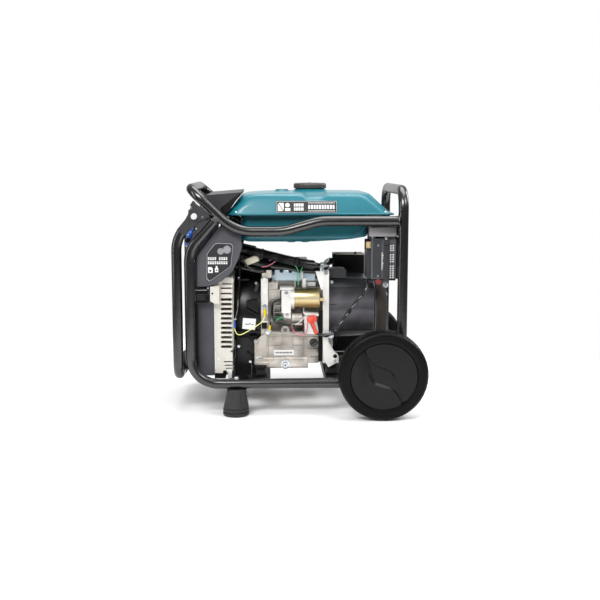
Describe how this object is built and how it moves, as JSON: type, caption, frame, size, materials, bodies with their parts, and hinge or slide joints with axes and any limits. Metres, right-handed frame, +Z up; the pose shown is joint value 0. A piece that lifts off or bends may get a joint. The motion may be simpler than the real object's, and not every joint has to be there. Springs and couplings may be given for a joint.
{
  "type": "portable generator",
  "caption": "Open-frame portable generator with a teal fuel tank, folding pull handle, wheels, electric starter and recoil starter.",
  "frame": {"origin": "centre of the bounding box on the ground, under the middle of the machine", "axes": "+X towards the wheel end, -Y towards the starter and battery side, +Z up"},
  "size_m": [0.723, 0.584, 0.6594],
  "materials": {
    "frame_steel": "satin black powder coat",
    "handle_steel": "satin black powder coat",
    "bracket_steel": "satin black",
    "grip_rubber": "matt",
    "foot_rubber": "matt",
    "tyre_rubber": "matt with fine moulding marks",
    "disc_plastic": "moulded satin",
    "axle_steel": "zinc plated",
    "tank_paint": "gloss teal",
    "cap_plastic": "satin",
    "panel_plastic": "fine grained",
    "cover_plastic": "fine grained",
    "shroud_plastic": "moulded satin",
    "blue_plastic": "moulded",
    "black_plastic": "satin",
    "cast_aluminium": "as cast",
    "fin_aluminium": "as cast, brushed edges",
    "galvanised": "galvanised sheet",
    "starter_gold": "yellow passivated",
    "engine_steel": "machined",
    "muffler_steel": "matt",
    "mount_rubber": "matt",
    "cable_jacket": "satin",
    "battery_case": "satin",
    "rope_cord": "braided"
  },
  "bodies": {
    "frame": {"main_frame": "frame_steel", "upper_rail": "frame_steel", "front_crossmember": "frame_steel", "rear_crossmember": "frame_steel", "handle_bracket_near": "bracket_steel", "handle_bracket_far": "bracket_steel", "battery_bracket": "bracket_steel", "foot_near": "foot_rubber", "foot_far": "foot_rubber", "axle": "axle_steel", "tank_upper": "tank_paint", "tank_lower": "tank_paint", "control_panel": "panel_plastic", "panel_housing": "panel_plastic", "battery_cover": "panel_plastic", "side_cover_near": "cover_plastic", "side_cover_far": "cover_plastic", "top_shroud": "shroud_plastic", "blower_housing": "shroud_plastic", "alternator_shroud": "shroud_plastic", "muffler_guard": "shroud_plastic", "recoil_cover": "shroud_plastic", "fuel_gauge": "black_plastic", "air_filter_box": "black_plastic", "crankcase": "cast_aluminium", "cylinder_head": "cast_aluminium", "alternator_bracket": "cast_aluminium", "carburettor": "cast_aluminium", "inverter_heatsink": "fin_aluminium", "cylinder_shroud": "galvanised", "starter_solenoid": "galvanised", "starter_motor": "starter_gold", "stator": "engine_steel", "muffler": "muffler_steel", "mount_front_near": "mount_rubber", "mount_front_far": "mount_rubber", "mount_rear_near": "mount_rubber", "mount_rear_far": "mount_rubber", "battery_cable": "cable_jacket", "harness_conduit": "cable_jacket", "battery": "battery_case"},
    "pull_handle": {"pull_handle": "handle_steel", "handle_grip": "grip_rubber"},
    "wheel_near": {"tyre_near": "tyre_rubber", "wheel_disc_near": "disc_plastic"},
    "wheel_far": {"tyre_far": "tyre_rubber", "wheel_disc_far": "disc_plastic"},
    "fuel_cap": {"fuel_cap": "cap_plastic"},
    "oil_cap": {"oil_filler_cap": "black_plastic"},
    "crank": {"crankshaft": "engine_steel", "flywheel": "engine_steel", "rotor": "engine_steel"},
    "recoil_handle": {"recoil_grip": "black_plastic", "recoil_rope": "rope_cord"},
    "recoil_reel": {"recoil_reel": "black_plastic"},
    "outlet_lid_near": {"outlet_lid_near": "blue_plastic"},
    "outlet_lid_far": {"outlet_lid_far": "black_plastic"},
    "key_switch": {"key_switch": "black_plastic"},
    "fuel_selector": {"fuel_selector": "black_plastic"}
  },
  "joints": [
    {"name": "handle_fold", "type": "hinge", "parent": "frame", "child": "pull_handle", "pos_m": [-0.291, 0, 0.57], "axis": [0, 1, 0], "range_deg": [0, 100]},
    {"name": "wheel_near_spin", "type": "hinge", "parent": "frame", "child": "wheel_near", "pos_m": [0.2345, -0.2595, 0.127], "axis": [0, 1, 0], "continuous": true},
    {"name": "wheel_far_spin", "type": "hinge", "parent": "frame", "child": "wheel_far", "pos_m": [0.2345, 0.2595, 0.127], "axis": [0, 1, 0], "continuous": true},
    {"name": "fuel_cap_turn", "type": "hinge", "parent": "frame", "child": "fuel_cap", "pos_m": [0.039, 0, 0.6414], "axis": [0, 0, 1], "range_deg": [0, 90]},
    {"name": "oil_cap_turn", "type": "hinge", "parent": "frame", "child": "oil_cap", "pos_m": [0.045, -0.1304, 0.196], "axis": [0, -1, 0], "range_deg": [0, 360]},
    {"name": "crankshaft_spin", "type": "hinge", "parent": "frame", "child": "crank", "pos_m": [0, 0, 0.27], "axis": [1, 0, 0], "continuous": true},
    {"name": "recoil_pull", "type": "slide", "parent": "frame", "child": "recoil_handle", "axis": [0, 1, 0], "range_m": [0, 0.6], "stiffness_N_per_m": 20, "springref_m": -0.3, "deforming": ["recoil_rope"]},
    {"name": "recoil_reel_spin", "type": "hinge", "parent": "frame", "child": "recoil_reel", "pos_m": [0.244, 0, 0.27], "axis": [-1, 0, 0], "range_deg": [0, 662]},
    {"name": "outlet_lid_near_hinge", "type": "hinge", "parent": "frame", "child": "outlet_lid_near", "pos_m": [-0.30448, -0.125, 0.52797], "axis": [0, 1, 0], "range_deg": [0, 100], "stiffness_Nm_per_rad": 0.02, "springref_deg": -34.38},
    {"name": "outlet_lid_far_hinge", "type": "hinge", "parent": "frame", "child": "outlet_lid_far", "pos_m": [-0.30448, -0.045, 0.52797], "axis": [0, 1, 0], "range_deg": [0, 100], "stiffness_Nm_per_rad": 0.02, "springref_deg": -34.38},
    {"name": "key_switch_turn", "type": "hinge", "parent": "frame", "child": "key_switch", "pos_m": [-0.29095, 0.12, 0.47067], "axis": [-0.9659, 0, 0.2588], "range_deg": [-45, 45]},
    {"name": "fuel_selector_turn", "type": "hinge", "parent": "frame", "child": "fuel_selector", "pos_m": [-0.29095, 0.055, 0.47067], "axis": [-0.9659, 0, 0.2588], "range_deg": [-90, 90]}
  ],
  "couplings": [
    {"joint": "recoil_reel_spin", "follows": "recoil_pull", "rad_per_m": 19.231}
  ]
}
